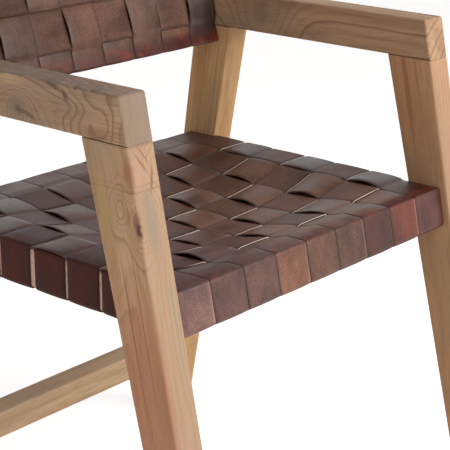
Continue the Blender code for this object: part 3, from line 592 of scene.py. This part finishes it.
weave = {
    "thick": 0.0016,
    "upper": -0.0017,        # middle of a strap that lies over its neighbour
    "lower": -0.0038,        # middle of one that lies under it or on a rail
    "turnHalf": 0.0050,      # half the run in which a strap changes level
    "early": 0.0018,         # a long strap is down again before the next gap
    "freeRun": 0.010,        # run in which a long strap's edge leaves its rail
    "onSideRail": 0.35,      # over the side rails the long straps can't arch as much
    "loose": 0.0015,         # the last long strap stands up behind the front rail
    "archPower": 1.35,
    "tiltPower": 1.6,
    "crown": 0.0005,         # edges lower than the middle
    "waver": 0.0003,         # from side to side
    "ripple": 0.0004,        # up and down
    "railTop": -0.0052,
    "fit": 0.0005,
    "lowTurn": 0.0050,       # round a rail's lower edge
    "topTurn": 0.0031,       # round its upper edge
    "halfWidth": 0.2382,
    "sagAcross": 0.1862,     # half the width that sags
    "sagFrom": -0.012,       # below this height a strap doesn't follow the sag
    "sagRun": 0.006,
    "edgeRound": 0.00035,
    "edgeAngle": 60,
    "acrossSteps": 12,       # of the mesh, across a strap
    "alongSteps": 170,       # along its top
    "tailSteps": 8,          # under the rail
    "turnSteps": 10,         # round each edge of the rail
    "faceSteps": 16,         # up its face
}

wear = {
    "lowBend": 0.35,         # round the rail's lower edge, where 1 is round its upper edge
    "farEnd": 0.3,           # the far end of a strap is less worn
    "run": 0.018,            # run in which the wear of the upper bend fades
}

strapKinds = {
    "long": {
        "arch": 0.0025, "dip": 0.0016,       # arch over a strap, dip under one
        "tiltOver": 0.0011, "tiltUnder": 0.0,            # how far one edge is lifted
        "overAt": 0,         # over where its number and the other strap's add up to an even number
        "lift": (0.8, 1.25), "skew": (-0.45, 0.15), "burnish": (0.7, 1.0),
        "width": 0.0518, "faceWidth": 0.0518, "pinch": 0.0003, "seed": 100,
    },
    "cross": {               # these draw in on the sides of the rails
        "arch": 0.0004, "dip": 0.0022,
        "tiltOver": 0.0, "tiltUnder": -0.0018,
        "overAt": 1,
        "lift": (0.7, 1.3), "skew": (-0.3, 0.3), "burnish": (0.6, 1.0),
        "width": 0.0518, "faceWidth": 0.0465, "pinch": 0.0010, "seed": 200,
    },
}

panels = {
    "seat": {
        "matrix": Matrix.Translation((0, -0.1927, 0.4535)),
        "length": 0.406, "lean": 0.2022, "railHeight": 0.045, "tail": 0.030, "rows": 6,
        "near": 0.02626, "far": 0.0365,      # the weave sags between these
        "sag": 0.0230, "sagAt": 0.159,
        "dent": (-0.143, 0.052, 0.045, 0.028, 0.0034),   # place, reach and depth
        "sideShift": (-0.0006, -0.0006, -0.0010, 0.0022, 0.0016, 0.0012),
    },
    "back": {
        "matrix": (Matrix.Translation((0, 0.1579, 0.583))
                   @ Matrix.Rotation(math.radians(77), 4, "X")),
        "length": 0.2618, "lean": 0.0, "railHeight": 0.024, "tail": 0.020, "rows": 4,
        "near": 0.0285, "far": 0.0285,
        "sag": 0.008, "sagAt": 0.1309,
        "dent": (0.0, 0.13, 0.05, 0.05, 0.0),
        "sideShift": (0.0, 0.0, 0.0, 0.0),
    },
}

dyes = {
    "rose": "#7C5850", "plum": "#65423A", "tan": "#86573F", "fawn": "#734B39", "brown": "#5C3B2D",
    "umber": "#4C241A", "russet": "#66301F", "wine": "#60352D", "side": "#45190F",
    "top": "#654637", "topRed": "#6C4634", "topDark": "#4E3B36", "crossTop": "#67483C",
    # colour of the painted highlight along the right edge of a face
    "wearAndPaintedLight": "#A98278",
}
# dye of the top and of the face that is pulled over the rail, how loosely the strap lies, how worn
# its front bend is, and how strong the painted highlight on the right edge of its face
longStraps = (
    ("topRed", "rose", 1.2, 0.9, 1.0),
    ("top", "plum", 1.05, 1.0, 0.0),
    ("top", "plum", 1.15, 1.05, 0.0),
    ("top", "tan", 0.8, 1.1, 0.6),
    ("topRed", "fawn", 0.9, 1.0, 0.0),
    ("top", "brown", 1.0, 1.0, 1.0),
    ("top", "umber", 1.0, 1.2, 0.0),
    ("topRed", "russet", 1.25, 1.8, 1.0),
    ("topDark", "wine", 1.0, 1.9, 0.0),
)
crossStrap = ("crossTop", "side", 1.0, 1.0, 0.0)

dyeing = {
    "level": 1.08,
    "paintedLightAt": 0.08,         # painted light and shade: the seat is darker to the left of this, and a little to the right
    "paintedLightFalloff": 7.0,
    "rearFrom": 0.20,        # painted shade: darker and redder to the rear, where the tops reflect dark surroundings
    "rearRun": 0.12,
    "rearPaintedShade": 0.30,
    "rearPaintedRed": 0.30,
    "rearPaintedRedFrom": -0.10,
    "rearPaintedRedRun": 0.08,
    "cornerAt": (0.222, 0.014),              # and darkest in the front right corner: the painted shadow of the far leg and arm
    "cornerReach": (0.045, 0.024),
    "legShadowDark": 0.92,
    "legShadowRed": 0.5,
    "paintedLilacSheen": (0.0, -0.10, 0.18, 0.0),        # painted sheen: share added to each colour on the left half, for its lilac-grey reflection
    "lilacFrom": 0.02,
    "lilacRun": 0.12,
    "edgeHighlightFrom": 0.88,        # share of the half width where the painted highlight on the right edge of a face starts
    "edgeHighlightRun": 0.08,
    "edgeHighlightGain": 0.5,
    "edgeHighlightShare": 0.5,
    "edgeFrom": 0.93,
    "edgeRun": 0.07,
    "bareLong": 0.05,        # share of the long straps' cut edges that the dye has missed
    "bareFrom": -0.175,      # the cross straps' edges are bare from here to the right,
    "bareStep": 0.018,       # further along with each row
    "bareRun": 0.05,
    "faceDyed": 0.75,
    "bendBare": 0.3,
    "seedStep": 0.37,        # each strap has its own part of the leather's patterns
}


def localBox(name, matrix):          # a node's box in its panel's own coordinates
    inverse = matrix.inverted()
    points = np.array([inverse @ v.co for v in nodes[name].data.vertices])
    return points.min(0), points.max(0)


def strapMiddles(panelName, kind):   # where the CAD's straps of a kind lie, one after the other
    panel = panels[panelName]
    count, axis = (len(longStraps), 0) if kind == "long" else (panel["rows"], 1)
    boxes = [localBox(f"{panelName}_{kind}_strap_{index + 1}", panel["matrix"])
             for index in range(count)]
    return [(low[axis] + high[axis]) / 2 for low, high in boxes]


def smoothStep(value):
    value = np.clip(value, 0.0, 1.0)
    return value * value * (3 - 2 * value)


slowWaves = {"count": 5, "rate": (12, 60), "start": (0, 6.28)}       # 0.1 to 0.5 m long


def unevenness(x, y, seed):          # slow and smooth, from a few sine waves
    rng = np.random.default_rng(seed)
    total = np.zeros(np.broadcast(x, y).shape)
    for wave in range(slowWaves["count"]):
        fx, fy = rng.uniform(*slowWaves["rate"], 2) * rng.choice([-1, 1], 2)
        swell = np.sin(x * fx + y * fy + rng.uniform(*slowWaves["start"]))
        total = total + swell / slowWaves["count"]
    return total


def dish(panel, across, along):      # how far the weave sags at a place
    acrossShare = across / weave["sagAcross"]
    nearShare = (along - panel["sagAt"]) / (panel["near"] - panel["sagAt"])
    farShare = (along - panel["sagAt"]) / (panel["length"] - panel["far"] - panel["sagAt"])
    alongShare = np.where(along < panel["sagAt"], nearShare, farShare)
    x, y, reachAcross, reachAlong, depth = panel["dent"]
    dent = depth * np.exp(-((across - x) / reachAcross) ** 2 - ((along - y) / reachAlong) ** 2)
    return dent + (panel["sag"] * np.clip(1 - np.abs(acrossShare) ** 3, 0, None)
                   * np.clip(1 - alongShare ** 2, 0, None))


def topHeight(place, strap):         # height and tilt of a strap's middle line, over and under
    height = np.full_like(place, strap["ends"][0])
    tilt = 0 * place
    centres = strap["crossings"]
    pitch = centres[1] - centres[0]
    borders = [centres[0] - pitch / 2] + [(a + b) / 2 for a, b in zip(centres, centres[1:])]
    borders.append(centres[-1] + pitch / 2)
    steps = [strap["ends"][0]] + strap["levels"] + [strap["ends"][1]]
    run = weave["turnHalf"]
    for border, before, after in zip(borders, steps, steps[1:]):
        if strap["kind"] == "long":
            border = border + math.copysign(weave["early"], after - before)
        height = height + (after - before) * smoothStep((place - border + run) / (2 * run))
    for centre, arch, lift, skew in zip(centres, strap["arches"], strap["tilts"], strap["skews"]):
        share = np.clip((place - centre) / (pitch / 2), -1, 1)
        height = height + arch * (1 - share ** 2) ** weave["archPower"] * (1 + skew * share)
        freeRun = weave["freeRun"] if strap["kind"] == "long" and centre == centres[0] else 0.0
        before = np.clip((place - centre) / (pitch / 2 + freeRun), -1, 0)
        share = np.where(place < centre, before, share)
        tilt = tilt + lift * (1 - share ** 2) ** weave["tiltPower"]
    return height, tilt


def endPath(panel, lean, level):     # from the tail under the rail, up its face and over its edge
    half = weave["thick"] / 2
    under = weave["railTop"] - panel["railHeight"] - weave["fit"] - half
    rows = []    # place, height, tilt, outward normal, how bent, how far it belongs to the face

    def turnMiddle(radius, height):
        return (half + radius) / math.cos(lean) + height * math.tan(lean), height

    def onTurn(middle, radius, angle):
        normal = (math.cos(angle), math.sin(angle))
        return middle[0] + radius * normal[0], middle[1] + radius * normal[1], normal

    def add(place, height, normal, bend, face):
        rows.append((place, height, 0.0, *normal, bend, face))

    low = turnMiddle(weave["lowTurn"], under + weave["lowTurn"])
    top = turnMiddle(weave["topTurn"], level - weave["topTurn"])
    tip = under * math.tan(lean) + panel["tail"]
    for share in np.linspace(0, 1, weave["tailSteps"])[:-1]:
        add(tip + (low[0] - tip) * share, under, (0, -1), 0.0, 1.0)
    stop = 180 - math.degrees(lean)
    for degrees in np.linspace(270, stop, weave["turnSteps"]):
        angle = math.radians(degrees)
        bend = wear["lowBend"] * math.sin(2 * (angle - math.radians(stop))) ** 2
        add(*onTurn(low, weave["lowTurn"], angle), bend, 1.0)
    start = rows[-1]
    end = onTurn(top, weave["topTurn"], math.radians(stop))
    for share in np.linspace(0, 1, weave["faceSteps"])[1:-1]:
        add(start[0] + (end[0] - start[0]) * share, start[1] + (end[1] - start[1]) * share,
            end[2], 0.0, 1.0)
    for degrees in np.linspace(stop, 90, weave["turnSteps"])[:-1]:
        share = (degrees - 90) / (stop - 90)
        add(*onTurn(top, weave["topTurn"], math.radians(degrees)), 1 - share, share)
    return rows, top[0]


def wholePath(panel, strap):
    low, high = strap["span"]
    near, nearTop = endPath(panel, strap["leans"][0], strap["ends"][0])
    far, farTop = endPath(panel, strap["leans"][1], strap["ends"][1])
    rows = [(low + r[0], *r[1:]) for r in near]
    stations = np.linspace(low + nearTop, high - farTop, weave["alongSteps"])
    for station, height, tilt in zip(stations, *topHeight(stations, strap)):
        gap = min(station - stations[0], stations[-1] - station)
        bend = max(0.0, 1 - (gap / wear["run"]) ** 2)
        if station > (low + high) / 2:
            bend *= wear["farEnd"]
        rows.append((float(station), float(height), float(tilt), 0.0, 1.0, bend, 0.0))
    rows += [(high - r[0], r[1], r[2], -r[3], r[4], r[5] * wear["farEnd"], r[6])
             for r in reversed(far)]
    return np.array(rows)


def dyeStrap(mesh, panel, strap, x, y, column, bend, face):      # colour and wear, point by point
    # painted highlight along the right edge of a strap's face, where its rounded edge catches the
    # light
    edgeHighlight = strap["edgeHighlight"] * smoothStep((column - dyeing["edgeHighlightFrom"]) / dyeing["edgeHighlightRun"]) * face
    edge = smoothStep((np.abs(column) - dyeing["edgeFrom"]) / dyeing["edgeRun"])
    edge = edge * (1 - np.minimum(edgeHighlight, 1))
    bare = dyeing["bareLong"]
    if strap["kind"] == "cross":
        bare = smoothStep((x - dyeing["bareFrom"] - strap["bareShift"]) / dyeing["bareRun"])
    bare = bare * (1 - dyeing["faceDyed"] * face) + dyeing["bendBare"] * bend

    onSeat = panel["lean"] > 0
    # painted shade on the seat's tops towards the rear, for the dark surroundings they reflect:
    # darker, and redder towards the middle
    rear = onSeat * (1 - face) * smoothStep((y - dyeing["rearFrom"]) / dyeing["rearRun"])
    # painted shadow of the far leg and arm in the seat's front right corner: darker dye, and redder
    # through the bend attribute
    cornerX, cornerY = dyeing["cornerAt"]
    reachX, reachY = dyeing["cornerReach"]
    legShadow = np.exp(-((x - cornerX) / reachX) ** 2 - ((y - cornerY) / reachY) ** 2)
    legShadow = dyeing["legShadowDark"] * (onSeat * legShadow) * (1 - face)
    rearPaintedRedShare = rear * smoothStep((x - dyeing["rearPaintedRedFrom"]) / dyeing["rearPaintedRedRun"])
    # wear at the rail bends and, on the seat, the painted shade of the front right corner and of
    # the rear, all held by the bend attribute
    wearAndPaintedLight = np.maximum(bend * strap["burnish"],
                      dyeing["legShadowRed"] * legShadow + dyeing["rearPaintedRed"] * rearPaintedRedShare)
    seed = np.full(len(x), strap["seed"] * dyeing["seedStep"])
    for word, values in (("bend", wearAndPaintedLight), ("edge", edge), ("raw", np.clip(bare, 0, 1)),
                         ("seed", seed)):
        attribute = mesh.attributes.new(word, "FLOAT", "POINT")
        attribute.data.foreach_set("value", values.astype(np.float32))

    topDye, faceDye, edgeHighlightDye = (np.array(linearColor(dyes[word]))
                                for word in (strap["top"], strap["face"], "wearAndPaintedLight"))
    # painted light and shade on the tops: lightest a little right of the middle, darker to either
    # side
    level = dyeing["level"] - dyeing["paintedLightFalloff"] * (x - dyeing["paintedLightAt"]) ** 2
    topDye = topDye * (level * (1 - dyeing["rearPaintedShade"] * rear) * (1 - legShadow))[:, None]
    # painted sheen: a lilac tint on the tops of the seat's left half
    paintedLilacSheen = onSeat * smoothStep((dyeing["lilacFrom"] - x) / dyeing["lilacRun"])
    topDye = topDye + paintedLilacSheen[:, None] * topDye * np.array(dyeing["paintedLilacSheen"])
    dye = topDye + (faceDye - topDye) * smoothStep(face)[:, None]
    # painted highlight: the face lighter and greyer along its right edge
    dye = dye * (1 + dyeing["edgeHighlightGain"] * edgeHighlight)[:, None]
    dye = dye + (edgeHighlightDye - dye) * dyeing["edgeHighlightShare"] * np.minimum(edgeHighlight, 1)[:, None]
    attribute = mesh.attributes.new("dye", "FLOAT_COLOR", "POINT")
    attribute.data.foreach_set("color", dye.astype(np.float32).ravel())


def makeStrap(name, panel, strap):
    look = strapKinds[strap["kind"]]
    path = wholePath(panel, strap)
    rowCount = len(path)
    deselectAll()
    bpy.ops.mesh.primitive_grid_add(x_subdivisions=weave["acrossSteps"],
                                    y_subdivisions=rowCount - 1, size=1)
    piece = bpy.context.object
    piece.name = name
    mesh = piece.data
    mesh.name = name
    start = np.array([v.co for v in mesh.vertices])
    column = start[:, 0] * 2                       # -1 to 1 across the strap
    row = np.rint((start[:, 1] + 0.5) * (rowCount - 1)).astype(int)
    place, height, tilt, outPlace, outHeight, bend, face = path[row].T
    steps = np.hypot(*np.diff(path[:, :2], axis=0).T)
    runLength = np.concatenate([[0], np.cumsum(steps)])[row]
    onTop = smoothStep((height - weave["sagFrom"]) / weave["sagRun"])
    width = (look["width"] + (look["faceWidth"] - look["width"]) * face
             - look["pinch"] * bend ** 2)
    sideways = (strap["middle"] + column * width / 2 + strap["faceShift"] * face
                + weave["waver"] * unevenness(place, 0 * place, strap["seed"]))
    drop = weave["crown"] * np.abs(column) ** 3
    place = place - outPlace * drop
    height = height - outHeight * drop - tilt * column
    x, y = (sideways, place) if strap["kind"] == "long" else (place, sideways)
    height = (height - onTop * dish(panel, x, y)
              + onTop * weave["ripple"] * unevenness(x, y, strap["seed"] + 50))
    points = np.stack([x, y, height], axis=1)
    mesh.vertices.foreach_set("co", points.astype(np.float32).ravel())

    uvLayer = mesh.uv_layers[0]
    uvLayer.name = "strap"
    loopVerts = np.zeros(len(mesh.loops), dtype=np.int32)
    mesh.loops.foreach_get("vertex_index", loopVerts)
    uv = np.stack([runLength[loopVerts], (column * width / 2)[loopVerts]], axis=1)
    uvLayer.data.foreach_set("uv", uv.astype(np.float32).ravel())
    dyeStrap(mesh, panel, strap, x, y, column, bend, face)

    mesh.transform(panel["matrix"])
    mesh.update()
    outward = panel["matrix"].to_quaternion() @ Vector((0, 0, 1))
    middle = mesh.polygons[len(mesh.polygons) // 2]
    if middle.normal.dot(outward) < 0:
        mesh.flip_normals()
    for material in (leather[strap["kind"]], raw["cut edge"], raw["flesh side"]):
        mesh.materials.append(material)
    applyModifier(piece, "SOLIDIFY", {"thickness": weave["thick"], "offset": 0.0,
                                      "use_even_offset": True, "material_offset": 2,
                                      "material_offset_rim": 1, "use_quality_normals": True})
    applyModifier(piece, "BEVEL", {"width": weave["edgeRound"], "segments": 2,
                                   "limit_method": "ANGLE",
                                   "angle_limit": math.radians(weave["edgeAngle"]),
                                   "material": 0})
    mesh.shade_smooth()
    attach(piece, "root")
    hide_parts(name)


strapCount = 0
dice = np.random.default_rng(11)
lower, upper = weave["lower"], weave["upper"]
for panelName, panel in panels.items():
    middles = {kind: strapMiddles(panelName, kind) for kind in strapKinds}
    for kind, otherKind in (("long", "cross"), ("cross", "long")):
        look = strapKinds[kind]
        for index, middle in enumerate(middles[kind]):
            top, face, loose, rubbed, edgeHighlight = longStraps[index] if kind == "long" else crossStrap
            lastStrap = len(middles[kind]) - 1
            rail = weave["onSideRail"] if kind == "long" and index in (0, lastStrap) else 1.0
            levels = [upper if (index + crossing) % 2 == look["overAt"] else lower
                      for crossing in range(len(middles[otherKind]))]
            lifts = [rail * loose * dice.uniform(*look["lift"]) if level == upper else 0
                     for level in levels]
            arches = [look["arch"] * lift or -look["dip"] for lift in lifts]
            tilts = [look["tiltOver"] * lift if lift else look["tiltUnder"] for lift in lifts]
            if kind == "long" and index == lastStrap:
                arches[0] += weave["loose"]
                tilts[0] += weave["loose"]
            strap = {
                "kind": kind, "middle": middle, "seed": look["seed"] + index,
                "crossings": middles[otherKind], "levels": levels, "arches": arches,
                "tilts": tilts, "skews": [dice.uniform(*look["skew"]) for level in levels],
                "burnish": dice.uniform(*look["burnish"]) * rubbed,
                "top": top, "face": face, "edgeHighlight": edgeHighlight,
            }
            if kind == "long":
                strap.update(span=(0.0, panel["length"]), leans=(panel["lean"], 0.0),
                             ends=(lower, lower), faceShift=0.0)
            else:
                strap.update(span=(-weave["halfWidth"], weave["halfWidth"]), leans=(0.0, 0.0),
                             ends=(levels[0], levels[-1]), faceShift=panel["sideShift"][index],
                             bareShift=dyeing["bareStep"] * index)
            makeStrap(f"{panelName}_{kind}_strap_{index + 1}", panel, strap)
            strapCount += 1
print(f"{strapCount} straps woven")


# Staples that hold the straps' tails to the rails

staple = {"length": 0.010, "wide": 0.0011, "proud": 0.0004, "crown": 0.0006, "leg": 0.0012,
          "fromTip": 0.010, "apart": 0.024, "edgeRound": 0.00018, "edgeAngle": 40}

deselectAll()
bpy.ops.mesh.primitive_cube_add(size=1, location=(0, 0, 0),
                                scale=(staple["length"], staple["wide"], staple["crown"]))
bpy.ops.object.transform_apply(location=True, rotation=True, scale=True)
pattern = bpy.context.object
pattern.name = "staple"
bpy.ops.object.mode_set(mode="EDIT")
for side in (-1, 1):
    bpy.ops.mesh.select_all(action="SELECT")
    bpy.ops.mesh.bisect(plane_co=(side * (staple["length"] / 2 - staple["wide"]), 0, 0),
                        plane_no=(1, 0, 0))
bpy.ops.mesh.select_all(action="DESELECT")
bpy.ops.mesh.select_mode(type="FACE")
bpy.ops.object.mode_set(mode="OBJECT")
for face in pattern.data.polygons:
    atEnd = abs(face.center.x) > staple["length"] / 2 - staple["wide"] * 0.9
    face.select = face.normal.z > 0.9 and atEnd
bpy.ops.object.mode_set(mode="EDIT")
bpy.ops.mesh.extrude_region_move(TRANSFORM_OT_translate={"value": (0, 0, staple["leg"])})
bpy.ops.object.mode_set(mode="OBJECT")
applyModifier(pattern, "BEVEL", {"width": staple["edgeRound"], "segments": 2,
                                 "limit_method": "ANGLE",
                                 "angle_limit": math.radians(staple["edgeAngle"])})
pattern.data.materials.append(fittings["zinc-plated steel"])

for panelName, panel in panels.items():
    places = []              # of two staples at each end of each strap
    under = weave["railTop"] - panel["railHeight"] - weave["fit"] - weave["thick"]
    low = under + staple["crown"] / 2 - staple["proud"]
    deep = panel["tail"] - staple["fromTip"]
    shift = under * math.tan(panel["lean"])
    for middle in strapMiddles(panelName, "long"):
        for apart in (-0.5, 0.5):
            x = middle + apart * staple["apart"]
            places.append((x, shift + deep, 0.0))
            places.append((x, panel["length"] - deep, 0.0))
    for middle, sideShift in zip(strapMiddles(panelName, "cross"), panel["sideShift"]):
        for apart in (-0.5, 0.5):
            for side in (-1, 1):
                places.append((side * (weave["halfWidth"] - deep),
                               middle + sideShift + apart * staple["apart"], 90.0))
    copies = []
    for x, y, turnAngle in places:
        copy = pattern.copy()
        copy.data = pattern.data.copy()
        bpy.context.collection.objects.link(copy)
        copy.data.transform(panel["matrix"] @ Matrix.Translation((x, y, low))
                            @ Matrix.Rotation(math.radians(turnAngle), 4, "Z"))
        copies.append(copy)
    deselectAll()
    for copy in copies:
        copy.select_set(True)
    bpy.context.view_layer.objects.active = copies[0]
    bpy.ops.object.join()
    joined = bpy.context.object
    joined.name = f"{panelName}_staples"
    joined.data.name = joined.name
    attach(joined, "root")
    print(f"{len(places)} staples under the {panelName}")
bpy.data.objects.remove(pattern, do_unlink=True)
